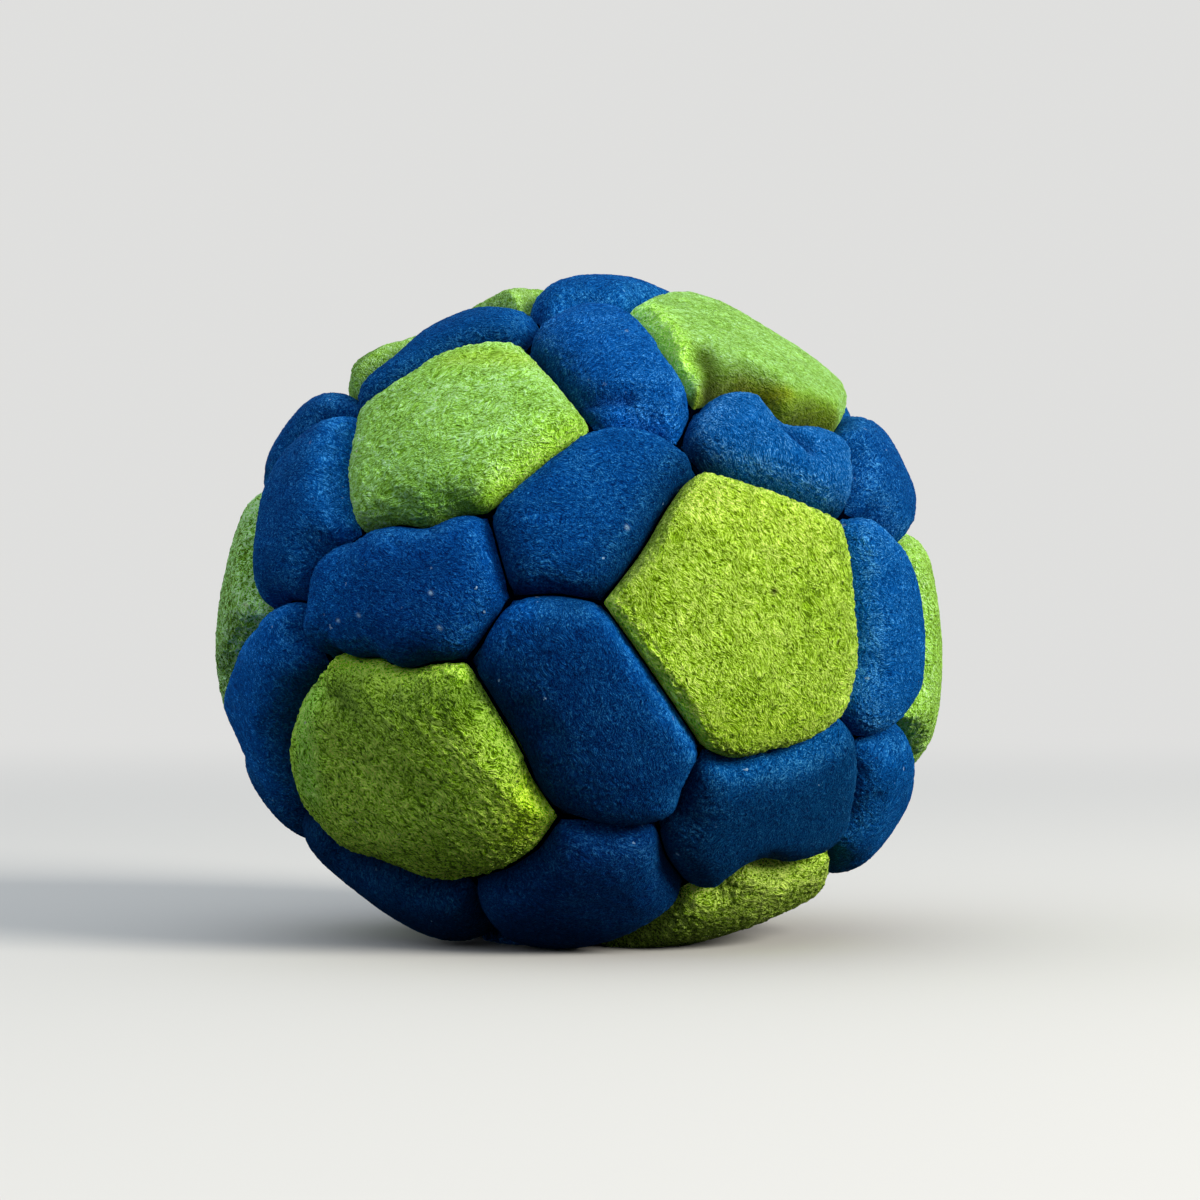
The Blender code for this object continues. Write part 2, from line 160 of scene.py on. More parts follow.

# Bands as read off, with what the dye is multiplied by after the half width: dirt on D and a black speck on A,
# painted light and shade where tops, sides and folds are lit or shaded, and some yellower or paler bands
DIRT_AND_PAINTED_LIGHT_BANDS = (
    ("b", (497, 500), (583, 430), 0.0019, (1.1, 0.98, 0.3)),
    ("b", (453, 360), (520, 357), 0.0012, (1.05, 0.95, 0.5)),
    # painted shade on B's lower left, in and above its fold
    ("b", (412, 502), (470, 500), 0.0013, (0.52, 0.6, 0.45)),
    ("b", (400, 468), (450, 480), 0.0022, (0.9, 0.92, 0.95)),
    # brown dirt along D's lower edge
    ("d", (750, 379), (786, 392), 0.0007, (0.9, 0.7, 0.2)),
    ("d", (786, 396), (838, 412), 0.0011, (0.9, 0.85, 0.3)),
    # D's dark hollow: brown dirt and painted shade
    ("d", (706, 354), (716, 378), 0.0009, (0.22, 0.22, 0.08)),
    # yellower along D's left edge
    ("d", (650, 313), (693, 360), 0.0013, (0.95, 0.92, 0.5)),
    # painted shade in the folds of AD and BD
    ("ad", (784, 424), (810, 448), 0.0005, (0.3, 0.4, 0.5)),
    ("bd", (574, 393), (630, 394), 0.0005, (0.35, 0.42, 0.55)),
    # lighter on BC's left
    ("bc", (326, 596), (332, 652), 0.0030, (1.5, 1.75, 1.6)),
    # painted sky light on A's top, and painted shade on its left and lower sides
    ("a", (690, 497), (800, 520), 0.0026, (1.25, 1.16, 1.35)),
    ("a", (630, 592), (680, 540), 0.0014, (0.88, 0.88, 0.9)),
    ("a", (715, 735), (800, 725), 0.0018, (0.84, 0.86, 0.6)),
    # a black speck of dirt on A
    ("a", (773, 591), (774, 592), 0.00022, (0.05, 0.03, 0.05)),
    # painted shadow of BC's bulge on C's top
    ("c", (345, 697), (455, 697), 0.0021, (0.42, 0.46, 0.42)),
    # darker within C's right side
    ("c", (470, 700), (520, 775), 0.0013, (0.54, 0.58, 0.56)),
    # painted sky light on C's left shoulder, which turns towards the sky
    ("c", (306, 700), (312, 790), 0.0014, (0.9, 1.1, 1.5)),
    # yellower at C's lower right
    ("c", (530, 790), (520, 840), 0.0016, (1.0, 0.94, 0.55)),
)

# What the dye is multiplied by at a panel's rim, and how far in that reaches: painted highlights where the nap
# catches light, painted shade where a rim lies in a fold or under a neighbour's edge, and on D's lower rim
# painted shade with brown dirt
GREEN_RIM_HIGHLIGHT = (1.3, 0.001)
BLUE_RIM_LIGHT = (1.0, 0.001)
RIM_LIGHT_SHADE_AND_DIRT = {
    "a": {
        "A.BC A.BD": (1.0, 0.001), "A.BC A.CE": (2.3, 0.0008), "A.BD A.DF": (1.1, 0.001),
        "A.DF A.EF": (1.25, 0.0012), "A.CE A.EF": (1.0, 0.001),
    },
    "b": {
        "B.AC B.CG": (1.0, 0.001), "B.AD B.DH": (1.0, 0.001), "B.CG B.GH": (1.0, 0.001),
        "B.DH B.GH": (1.0, 0.001),
    },
    "c": {"C.AB C.AE": (2.2, 0.0007), "C.AB C.BG": (2.2, 0.0008), "C.BG C.GI": (1.0, 0.001)},
    "d": {"D.AB D.AF": ((0.34, 0.26, 0.1), 0.0012), "D.AB D.BH": (2.5, 0.001)},
    "e": {"E.AC E.AF": (1.7, 0.001)},
    "ab": {
        "A.BC A.BD": (0.36, 0.002), "A.BC ABC": (0.55, 0.0012), "ABC B.AC": (0.5, 0.0016),
        "B.AC B.AD": (1.25, 0.0008),
    },
    "ac": {
        "A.BC A.CE": (2.0, 0.001), "ABC C.AB": (2.4, 0.0022), "ACE C.AE": (0.6, 0.0015),
        "C.AB C.AE": (0.2, 0.0024),
    },
    "ad": {"A.BD A.DF": (0.5, 0.0011), "A.BD ABD": (0.3, 0.0015), "A.DF ADF": (0.4, 0.0012)},
    "ae": {"A.CE A.EF": (3.0, 0.0012), "E.AC E.AF": (0.4, 0.0009)},
    "bc": {"ABC B.AC": (2.0, 0.0007), "C.AB C.BG": (0.45, 0.0013)},
    "bd": {"ABD B.AD": (1.9, 0.0009), "B.AD B.DH": (0.5, 0.0012), "D.AB D.BH": (1.5, 0.0007)},
    "bg": {"B.CG B.GH": (1.8, 0.0018)},
    "bh": {"B.DH B.GH": (0.35, 0.0014)},
    "ce": {"ACE C.AE": (1.8, 0.0009)},
    "cg": {"BCG C.BG": (0.5, 0.0015), "C.BG C.GI": (0.35, 0.0016)},
}
RIM_LIGHT_LIMITS = (0.12, 3.6)

# Specks of white lint
LINT_PIXELS = ((433, 593), (362, 615), (341, 620), (440, 627), (627, 525), (239, 604))
LINT_RADIUS = 0.0001

# Where the fill comes up into a sharply bent seam behind the rim, how far round it is painted near black as
# painted shade in the seam's gap, and that colour
DARK_FILL_PIXEL = (388, 369)
DARK_FILL_RADIUS = 0.003
FILL_PAINTED_SHADE_COLOUR = (0.001, 0.002, 0.005)

# The way the nap leans on the panels that the photograph shows well
NAP_LEAN = {
    "a": (0.6, 0.1, -0.75), "b": (0.9, 0.1, 0.2), "c": (0.7, 0.1, -0.5), "d": (0.8, 0.3, -0.5),
}

# Light of the sky by height, from straight below to overhead, how much brighter it is at the left, and what
# the camera sees behind the bag
SKY_STOPS = ((0.42, (0.025, 0.027, 0.03)), (0.56, (0.3, 0.34, 0.38)), (0.95, (0.9, 0.97, 1.04)))
SKY_LEFT_SHARE = 0.6
BACKDROP_COLOUR = (0.74, 0.74, 0.73)
FLOOR_COLOUR = (0.62, 0.605, 0.585)
FLOOR_BOUNCE_COLOUR = (0.03, 0.03, 0.03)
FLOOR_REACH = 4
FLOOR_FADE = (0.06, 0.5)

# The key light: where it stands, what it points at, its size, power and colour
KEY_LIGHT = ((0.53, -0.37, 0.33), (0, 0, 0.02), 0.34, 6.8, (1.0, 0.96, 0.86))

# The two hides. Stops are colours from slit to tuft, and the lifts and depths are shares of that range.
GREEN_LOOK = {
    "stops": ((0.0, (0.075, 0.15, 0.001)), (0.32, (0.205, 0.395, 0.007)), (0.6, (0.4, 0.68, 0.035)),
              (0.95, (0.72, 0.98, 0.17))),
    "sheen": 0.16, "sheen_tint": (0.8, 1.0, 0.45), "fleck": (0.75, 0.85, 0.5), "fleck_share": 0.006,
    "slit_depth": 0.3, "curl_lift": 0.36, "shoulder_fluff_and_sheen_lift": 0.05, "nap_height": 0.00046,
}
BLUE_LOOK = {
    "stops": ((0.0, (0.0, 0.011, 0.07)), (0.4, (0.0, 0.04, 0.2)), (0.68, (0.003, 0.1, 0.38)),
              (0.98, (0.06, 0.37, 0.8))),
    "sheen": 0.15, "sheen_tint": (0.0, 0.33, 1.0), "fleck": (0.3, 0.5, 0.75), "fleck_share": 0.03,
    "slit_depth": 0.22, "curl_lift": 0.3, "shoulder_fluff_and_sheen_lift": 0.1, "nap_height": 0.0002,
}

# Loose flecks: how close they lie, how their outlines wander, and how far the largest and smallest reach
FLECK_SCALE = 1900
FLECK_WANDER_SCALE = 2600
FLECK_WANDER = 0.0006
FLECK_REACH = (0.2, 0.08)

# Thread, near black partly as painted shade of the seam groove it lies in, and fill
THREAD_AND_GROOVE_SHADE_STOPS = ((0.3, (0.0001, 0.0004, 0.0016)), (0.7, (0.0004, 0.0012, 0.005)))
PELLET_STOPS = ((0.2, (0.74, 0.72, 0.66)), (0.75, (0.3, 0.29, 0.26)))
PELLET_SCALE = 420
PELLET_RELIEF = 0.0008

# How much darker or lighter than the rest a panel is coloured, in all or for red, green and blue: partly dye and
# mostly painted light and shade, darker on the low front panels that lie in shade and lighter on those the lamp
# or the sky lights. Also how far its colour leans to a paler, bluer green, which is partly painted sky light
PANEL_TONES_AND_LIGHT = {
    "ab": (0.8, 0.89, 0.94), "ac": (0.53, 0.61, 0.66), "ad": (3.0, 1.5, 1.32), "ae": (0.55, 0.47, 0.43),
    "af": (2.0, 1.38, 1.28), "bc": (0.65, 0.76, 0.87), "bd": (1.5, 1.17, 1.2), "bg": 1.02,
    "ce": (0.35, 0.35, 0.42), "cg": 1.75, "ci": 0.4, "df": (1.2, 0.97, 0.98), "ef": 1.05, "a": 1.16,
    "b": (1.28, 1.36, 1.8), "c": (1.28, 1.38, 1.1), "d": (1.2, 1.2, 1.8), "e": 0.83, "f": 1.35, "g": 1.3,
}
PANEL_PALENESS_AND_SKY_LIGHT = {
    "b": 0.7, "d": 0.9, "f": 0.8, "g": 1.0, "h": 0.9, **dict.fromkeys("ijkl", 0.3),
}
SKY_LIT_PALE_GREEN = (0.85, 1.05, 2.9)

# How much rougher or smoother than the rest a panel's nap is. Its colour varies more with it too, partly as
# painted shade of the nap on panels in shade
PANEL_RAGGEDNESS = {
    "a": 1.4, "b": 0.95, "c": 2.1, "d": 0.7, "e": 2.2, "g": 2.0,
}

RING_COUNT = 90
SEAM_POINTS = 25

# The skins' cloth simulation: rings of its grid, how much larger than life it runs, its frames, and how far it
# may move a point
CLOTH_RINGS = 16
CLOTH_SCALE = 20
CLOTH_FRAMES = 20
CLOTH_REACH = 0.00022
CLOTH_SETTINGS = {
    "quality": 6, "mass": 0.004, "tension_stiffness": 8, "compression_stiffness": 8, "shear_stiffness": 4,
    "bending_stiffness": 0.05, "air_damping": 4, "use_pressure": True, "uniform_pressure_force": 4,
    "shrink_min": -0.02, "vertex_group_mass": "seam",
}

# How far the edge seen at a seam stands proud of it at the rim, and how that falls off towards the middle
SEEN_EDGE_RISE = 0.0025
SEEN_EDGE_POWER = 2.2
SEEN_CROWN_RISE = 0.0024
PLACING_STEPS = 8
PLACING_SHARE = 0.8

# Whole numbers that the repeatable noise is mixed from, how far apart the panels' seeds are, and how each layer
# of noise is scaled and moved
NOISE_AXIS_PRIMES = (73856093, 19349663, 83492791)
NOISE_SEED_PRIME = 2654435
NOISE_MIX_PRIME = 1274126177
SEED_STEP = 100
SEED_START = 7
LAYER_SCALE = 2.03
LAYER_OFFSET = 17.3

# How much closer together a grid's rings lie at the rim, and the least share of its distance that a rounded
# corner keeps
RIM_CROWDING = 1.3
LEAST_CORNER_SHARE = 0.25

# How unlike each other the panels are filled and dyed
CROWN_RANGE = (0.94, 1.04)
TONE_RANGE = (0.92, 1.04)

# Waves of the skin, over the whole panel and beside the seam: height, width of a wave, and the reach from the
# seam over which the first grows and the second dies away
SKIN_WAVES = (0.00008, 0.0055, 0.002)
SEAM_WAVES = (0.00005, 0.0018, 0.002)

# The nap's clumps on green and blue hide (across the lean, along it, and in depth), their height, how they
# wander, how clumps and fine nap are mixed, and how much, where and how widely they stand up on a shoulder
GREEN_CLUMP = (0.00028, 0.00055, 0.00032)
BLUE_CLUMP = (0.00022, 0.00038, 0.00028)
GREEN_NAP_HEIGHT = 0.00005
BLUE_NAP_HEIGHT = 0.00003
RAGGED_POWER = 0.6
NAP_WANDER = 0.0003
NAP_WANDER_WIDTH = 0.0011
FINE_NAP_WIDTH = 0.00018
NAP_MIX = (1.6, 0.5, 0.4)
NAP_SPACE_SHIFTS = 97
NAP_START = 0.0005
LEAST_NAP_SHARE = 0.2
FLUFF = (0.9, 0.0009, 0.0008)
SLIDE_START = 0.002
# Where and how widely a shoulder's colour is lifted, partly for its fluffed nap and partly as a painted sheen
SHOULDER_BAND = (0.0011, 0.0006)

# The inner skin: how far it lies above the seam at the rim and further in, and the share of the way to the
# middle at which the others lie
INNER_RIM_RISE = 0.0003
INNER_SLOPE_RISE = 0.0008
INNER_SLOPE_SHARE = 0.18
INNER_CROWN_SHARE = 0.5
INNER_CROWN_DROP = 1.3
INNER_MIDDLE_DROP = 1.2


def pentagon_centres():
    turn = Euler([math.radians(angle) for angle in PATTERN_TURN_DEGREES], "XYZ").to_matrix()
    ring_rise = math.atan(1 / 2)
    step = math.tau / len(FIRST_RING)
    centres = {"A": Vector((0, 0, 1)), "L": Vector((0, 0, -1))}
    for index, letter in enumerate(FIRST_RING):
        centres[letter] = direction_at(step * index, ring_rise)
    for index, letter in enumerate(SECOND_RING):
        centres[letter] = direction_at(step * index + step / 2, -ring_rise)
    return {letter: turn @ centres[letter] for letter in sorted(centres)}


def direction_at(azimuth, rise):
    flat = math.cos(rise)
    return Vector((flat * math.cos(azimuth), flat * math.sin(azimuth), math.sin(rise)))


def neighbouring_pairs(letters, centres):
    """Those pairs of some pentagons that lie side by side."""
    pairs = itertools.combinations(letters, 2)
    return [(first, second) for first, second in pairs if centres[first].dot(centres[second]) > 0]


def find_faces(centres):
    """Every three pentagons that all lie side by side."""
    triples = itertools.combinations(centres, 3)
    return ["".join(three) for three in triples if len(neighbouring_pairs(three, centres)) == 3]


def seen_direction(pixel):
    """Direction of the seam point that the view shows at a pixel. A ray past the rim gives the rim."""
    shape = Vector(VIEW_SHAPE_SHARES)
    eye = Vector((0, -VIEW_DISTANCE_SHARE / shape.y, 0))
    across = (pixel[0] - VIEW_CENTRE_PIXEL[0]) / VIEW_FOCAL_PIXELS
    up = (VIEW_CENTRE_PIXEL[1] - pixel[1]) / VIEW_FOCAL_PIXELS
    ray = Vector((across / shape.x, 1 / shape.y, up / shape.z)).normalized()
    passing = eye - ray * eye.dot(ray)
    depth = math.sqrt(max(0, 1 - passing.length_squared))
    return (passing - ray * depth).normalized()


def view_pixel(point):
    """Pixel at which the view shows a point."""
    placed = (point - np.array((0, 0, CENTRE_HEIGHT))) * VIEW_SHAPE_SHARES / HALF_SIZES
    scale = VIEW_FOCAL_PIXELS / (VIEW_DISTANCE_SHARE + placed[1])
    return np.array((VIEW_CENTRE_PIXEL[0] + placed[0] * scale, VIEW_CENTRE_PIXEL[1] - placed[2] * scale))


def seen_edge_rise(direction):
    """How far the nearer panel's edge stands proud of a seam where the view is slanting."""
    slant = math.acos(max(-1, min(1, -direction[1]))) / (math.pi / 2)
    return SEEN_EDGE_RISE * slant**SEEN_EDGE_POWER


def placed_direction(pixel, rise=None):
    """Direction whose point on the slumped skin is seen at a pixel. With no rise it is a seam's edge."""
    aim = np.array(pixel, dtype=float)
    for _ in range(PLACING_STEPS):
        direction = np.array(seen_direction(aim))
        height = seen_edge_rise(direction) if rise is None else rise
        shown = view_pixel(skin_points(direction[None], height, 0)[0])
        aim += (np.array(pixel) - shown) * PLACING_SHARE
    return np.array(seen_direction(aim))


def corner_name(pentagon, face):
    return pentagon + "." + face.replace(pentagon, "")


def letters_of(name):
    return name.rsplit("_", 1)[1]


def seam_corners(centres, faces):
    corners = {}
    for face in faces:
        middle = sum((centres[letter] for letter in face), Vector()).normalized()
        corners[face] = middle
        for letter in face:
            corners[corner_name(letter, face)] = centres[letter].slerp(middle, PENTAGON_CORNER_SHARE)
    for name, pixel in CORNER_PIXELS.items():
        corners[name] = Vector(placed_direction(pixel))
    return corners


def panel_corner_names():
    """Corner names of every panel, anticlockwise from outside, by node name, and the corners' directions."""
    centres = pentagon_centres()
    faces = find_faces(centres)
    corners = seam_corners(centres, faces)
    panels = {}
    for letter in centres:
        around = [face for face in faces if letter in face]
        ordered = [around.pop()]
        while around:
            beside = next(face for face in around if len(set(face) & set(ordered[-1])) == 2)
            ordered.append(beside)
            around.remove(beside)
        panels["green_pentagon_" + letter.lower()] = [corner_name(letter, face) for face in ordered]
    for first, second in neighbouring_pairs(centres, centres):
        left, right = [face for face in faces if first in face and second in face]
        names = [corner_name(first, left), left, corner_name(second, left)]
        names += [corner_name(second, right), right, corner_name(first, right)]
        panels["blue_hexagon_" + (first + second).lower()] = names
    for name, names in panels.items():
        middle = sum((corners[corner] for corner in names), Vector())
        if corners[names[0]].cross(corners[names[1]]).dot(middle) < 0:
            panels[name] = names[::-1]
    return panels, {name: np.array(corner) for name, corner in corners.items()}


def unit(vectors):
    return vectors / np.linalg.norm(vectors, axis=-1, keepdims=True)


def slerp(start, end, share):
    """Directions between two directions, for arrays of either."""
    angle = np.arccos(np.clip((start * end).sum(axis=-1, keepdims=True), -1, 1))
    share = np.asarray(share)[..., None]
    return (np.sin((1 - share) * angle) * start + np.sin(share * angle) * end) / np.sin(angle)


def settled(height):
    meeting = np.maximum(0, SETTLE_BLEND - np.abs(height - SEAM_REST_HEIGHT))
    return np.maximum(height, SEAM_REST_HEIGHT) + meeting * meeting / (4 * SETTLE_BLEND)


def skin_points(directions, rises, lowest):
    """Points a rise above the seam surface, and no lower than lowest."""
    points = directions * HALF_SIZES
    normals = unit(directions / HALF_SIZES)
    for angle, depth, spread in SLUMPS:
        rim = np.array((math.cos(math.radians(angle)), 0, math.sin(math.radians(angle))))
        away = np.arccos(np.clip(directions @ rim, -1, 1)) / spread
        points = points - normals * (depth * np.exp(-away * away))[:, None]
    points[:, 2] = settled(points[:, 2] + CENTRE_HEIGHT)
    points = points + normals * np.broadcast_to(rises, len(points))[:, None]
    points[:, 2] = np.maximum(points[:, 2], lowest)
    return points


def lattice_values(x, y, z, seed):
    """A repeatable value from 0 to 1 for each whole-number place."""
    across, along, up = NOISE_AXIS_PRIMES
    mixed = (x * across) ^ (y * along) ^ (z * up) ^ (seed * NOISE_SEED_PRIME)
    mixed = (mixed ^ (mixed >> 13)) * NOISE_MIX_PRIME
    mixed = mixed ^ (mixed >> 16)
    return (mixed & 65535) / 65535


def noise(places, seed):
    """Smooth noise from -1 to 1, with features about one unit wide."""
    cells = np.floor(places).astype(np.int64)
    parts = places - cells
    parts = parts * parts * parts * (parts * (parts * 6 - 15) + 10)
    total = np.zeros(len(places))
    for corner in itertools.product((0, 1), repeat=3):
        across, along, up = np.where(corner, parts, 1 - parts).T
        total += across * along * up * lattice_values(*(cells + corner).T, seed)
    return total * 2 - 1


def layered_noise(places, seed, layers):
    total = 0
    for layer in range(layers):
        total = total + noise(places * LAYER_SCALE**layer + LAYER_OFFSET * layer, seed + layer) / 2**layer
    return total


def ring_starts(sides, rings):
    """Where the points of each ring of a grid start, when ring r has r points on each side."""
    return [0] + [1 + sides * r * (r - 1) // 2 for r in range(1, rings + 1)]


@functools.cache
def sector_faces(sides, rings):
    """Triangles of a grid of rings round a middle point, and where its last ring starts."""
    starts = ring_starts(sides, rings)
    faces = []
    for r in range(1, rings + 1):
        for side in range(sides):
            for j in range(r):
                outer = starts[r] + (side * r + j) % (sides * r)
                outer_next = starts[r] + (side * r + j + 1) % (sides * r)
                inner = starts[r - 1] + ((side * (r - 1) + j) % (sides * (r - 1)) if r > 1 else 0)
                faces.append((inner, outer, outer_next))
                if j < r - 1:
                    inner_next = starts[r - 1] + (side * (r - 1) + j + 1) % (sides * (r - 1))
                    faces.append((inner, outer_next, inner_next))
    return np.array(faces), starts[rings]


def ring_faces(first, second, count):
    """Triangles between two rings of points, facing out where the second lies round the first."""
    index = np.arange(count)
    after = (index + 1) % count
    lower = np.stack((first + index, second + index, second + after), axis=1)
    upper = np.stack((first + index, second + after, first + after), axis=1)
    return np.concatenate((lower, upper))


def seam_curve(corners, start, end, count):
    """Directions along a seam from one corner to another, through the points it is seen to pass."""
    first, last = min(start, end), max(start, end)
    passed = [placed_direction(pixel) for pixel in SEAM_PIXELS.get(first + " " + last, ())]
    knots = np.array([corners[first], *passed, corners[last]])
    if len(knots) == 2:
        curve = slerp(knots[:1], knots[1:], np.linspace(0, 1, count))
    else:
        steps = np.linalg.norm(np.diff(knots, axis=0), axis=1)
        places = np.concatenate(([0], np.cumsum(steps)))
        slopes = np.gradient(knots, places, axis=0)
        wanted = np.linspace(0, places[-1], count)
        index = np.clip(np.searchsorted(places, wanted, side="right") - 1, 0, len(steps) - 1)
        span = steps[index][:, None]
        part = (wanted - places[index])[:, None] / span
        rise = part * part * (3 - 2 * part)
        curve = knots[index] * (1 - rise) + knots[index + 1] * rise
        curve = curve + slopes[index] * span * part * (1 - part) ** 2
        curve = unit(curve - slopes[index + 1] * span * part * part * (1 - part))
    return curve if start < end else curve[::-1]


def line_distance(directions, line):
    """Distance from each direction to a line of directions, along the seam surface."""
    nearest = np.full(len(directions), np.inf)
    for start, end in zip(line[:-1], line[1:]):
        along = end - start
        share = np.clip((directions - start) @ along / (along @ along), 0, 1)
        gap = directions - start - share[:, None] * along
        nearest = np.minimum(nearest, (gap * gap).sum(axis=1))
    return np.sqrt(nearest) * MEAN_RADIUS


def rounded_distance(distances, rounding):
    """Distance to the nearest side, lower in the corners so that they turn round."""
    ordered = np.sort(distances, axis=0)
    meeting = np.maximum(0, rounding - (ordered[1] - ordered[0]))
    return np.maximum(ordered[0] - meeting * meeting / (4 * rounding), ordered[0] * LEAST_CORNER_SHARE)


def inset_outline(sides, inset):
    """Directions along a panel's outline, an inset inside its seams."""
    points = np.concatenate([side[:-1] for side in sides])
    middle = unit(points.mean(axis=0))
    before = unit(np.cross(points, points - np.roll(points, 1, axis=0)))
    after = unit(np.cross(points, np.roll(points, -1, axis=0) - points))
    mitre = (before + after) / (1 + (before * after).sum(axis=1, keepdims=True))
    return unit(points + mitre * inset / MEAN_RADIUS), middle


def shoulder_rise(distance, crown, width, power):
    """Rise of the outer skin at a distance from the seam."""
    left = 1 - np.clip(distance / width, 0, 1)
    return -FOLD_DEPTH + (crown + FOLD_DEPTH) * (1 - left**power) ** (1 / power)


def vertex_normals(points, faces):
    a, b, c = points[faces[:, 0]], points[faces[:, 1]], points[faces[:, 2]]
    face_normals = np.cross(b - a, c - a)
    normals = np.zeros_like(points)
    for column in range(3):
        for axis in range(3):
            normals[:, axis] += np.bincount(faces[:, column], face_normals[:, axis], len(points))
    return unit(normals)


def grid_directions(outline, middle, sides, rings):
    """Directions of a grid of rings from a panel's middle out to its outline, closer together at the rim."""
    directions = [middle[None]]
    for r in range(1, rings + 1):
        share = 1 - (1 - r / rings) ** RIM_CROWDING
        places = np.arange(sides * r) * rings / r
        low = np.floor(places).astype(int)
        part = (places - low)[:, None]
        edge = outline[low % len(outline)] * (1 - part) + outline[(low + 1) % len(outline)] * part
        directions.append(slerp(middle[None], unit(edge), share))
    return np.concatenate(directions)


def band_cover(directions, first, last, half_width):
    """How strongly a soft band between two pixels covers each direction."""
    ends = np.array([placed_direction(pixel, SEEN_CROWN_RISE) for pixel in (first, last)])
    gap = line_distance(directions, ends) / half_width
    return np.exp(-gap * gap)


def panel_skin(name, names, all_corners, seed, rings):
    """A panel's outer skin as a grid: its outline, middle, directions, distances to the seam and rises."""
    pairs = list(zip(names, names[1:] + names[:1]))
    letters = letters_of(name)
    form = PANEL_FORMS.get(letters, PENTAGON_FORM if name.startswith("green") else HEXAGON_FORM)
    crown, width, power, rounding = form
    crown *= CROWN_SHARES.get(letters, 1)
    fine_sides = [seam_curve(all_corners, start, end, rings + 1) for start, end in pairs]
    plain_sides = [seam_curve(all_corners, start, end, SEAM_POINTS) for start, end in pairs]
    outline, middle = inset_outline(fine_sides, PANEL_GAP / 2)
    directions = grid_directions(outline, middle, len(names), rings)
    seams = [min(pair) + " " + max(pair) for pair in pairs]
    factors = SHOULDER_FACTORS.get(letters, {})
    steepness = np.array([factors.get(seam, 1) for seam in seams])
    gaps = np.array([line_distance(directions, side) for side in plain_sides])
    distance = rounded_distance(gaps * steepness[:, None], rounding)
    rng = np.random.default_rng(seed)
    rise = shoulder_rise(distance, crown * rng.uniform(*CROWN_RANGE), width, power)
    for panel, first, last, half_width, depth in HOLLOWS:
        if panel == letters:
            cover = band_cover(directions, first, last, half_width)
            rise -= depth * cover * np.clip(distance / half_width, 0, 1)
    places = directions * MEAN_RADIUS
    height, wave, reach = SKIN_WAVES
    rise += height * layered_noise(places / wave, seed, 2) * np.clip(distance / reach, 0, 1)
    height, wave, reach = SEAM_WAVES
    rise += height * layered_noise(places / wave, seed + 9, 2) * np.exp(-distance / reach)
    return {"outline": outline, "middle": middle, "directions": directions, "distance": distance, "rise": rise,
            "crown": crown, "gaps": dict(zip(seams, gaps))}


def rim_light_and_shade(name, gaps):
    """What a panel's dye is multiplied by at each point for its rim: painted highlights and shade, and some
    dirt.
    """
    shade = np.ones((len(next(iter(gaps.values()))), 3))
    usual = GREEN_RIM_HIGHLIGHT if name.startswith("green") else BLUE_RIM_LIGHT
    rim_light_and_dirt = RIM_LIGHT_SHADE_AND_DIRT.get(letters_of(name), {})
    for seam, gap in gaps.items():
        tone_and_light, reach = rim_light_and_dirt.get(seam, usual)
        shade *= 1 + (np.broadcast_to(tone_and_light, 3) - 1) * np.exp(-((gap / reach) ** 2))[:, None]
    return np.clip(shade, *RIM_LIGHT_LIMITS)


def swell_by_cloth(panels, corners, seeds):
    """How far a cloth simulation of the pressed, pinned skins moves each point of a coarse grid, by panel."""
    starts, all_points, all_faces, pinned = {}, [], [], []
    total = 0
    for name, names in panels.items():
        skin = panel_skin(name, names, corners, seeds[name], CLOTH_RINGS)
        points = skin_points(skin["directions"], skin["rise"], 0)
        faces, last_start = sector_faces(len(names), CLOTH_RINGS)
        starts[name] = (total, total + len(points))
        pinned += range(total + last_start, total + len(points))
        all_points.append(points)
        all_faces.append(faces + total)
        total += len(points)
    points = np.concatenate(all_points)
    mesh = bpy.data.meshes.new("swelling")
    mesh.from_pydata((points * CLOTH_SCALE).tolist(), [], np.concatenate(all_faces).tolist())
    skins = add_object("swelling", mesh)
    skins.vertex_groups.new(name="seam").add(pinned, 1, "REPLACE")
    cloth = skins.modifiers.new("cloth", "CLOTH")
    for key, value in CLOTH_SETTINGS.items():
        setattr(cloth.settings, key, value)
    cloth.settings.effector_weights.gravity = 0
    cloth.collision_settings.use_collision = False
    cloth.point_cache.frame_end = CLOTH_FRAMES
    for number in range(1, CLOTH_FRAMES + 1):
        scene.frame_set(number)
    moved = np.empty(total * 3, dtype=np.float32)
    solved = skins.evaluated_get(bpy.context.evaluated_depsgraph_get())
    solved.data.vertices.foreach_get("co", moved)
    bpy.data.objects.remove(skins, do_unlink=True)
    bpy.data.meshes.remove(mesh)
    scene.frame_set(1)
    shifts = moved.reshape(-1, 3) / CLOTH_SCALE - points
    lengths = np.linalg.norm(shifts, axis=1, keepdims=True)
    shifts = shifts * CLOTH_REACH / (CLOTH_REACH + lengths)
    return {name: shifts[first:last] for name, (first, last) in starts.items()}


def spline_weights(part):
    """Weights of four points in a row for a smooth curve between the middle two."""
    return (((2 - part) * part - 1) * part / 2, ((3 * part - 5) * part * part + 2) / 2,
            ((4 - 3 * part) * part + 1) * part / 2, (part - 1) * part * part / 2)


def carried_shifts(shifts, sides, rings):
    """Shifts of a coarse grid of rings, carried smoothly to a grid with more rings."""
    starts = ring_starts(sides, CLOTH_RINGS)
    carried = [shifts[:1]]
    for r in range(1, rings + 1):
        reach = r / rings * CLOTH_RINGS
        low = min(int(reach), CLOTH_RINGS - 1)
        around = np.arange(sides * r) / (sides * r)
        row = np.zeros((sides * r, 3))
        for step, across_weight in enumerate(spline_weights(reach - low)):
            ring = min(max(low - 1 + step, 0), CLOTH_RINGS)
            count = max(1, sides * ring)
            place = around * count
            first = np.floor(place).astype(int)
            for offset, weight in enumerate(spline_weights(place - first)):
                index = starts[ring] + (first - 1 + offset) % count
                row += across_weight * weight[:, None] * shifts[index]
        carried.append(row)
    return np.concatenate(carried)


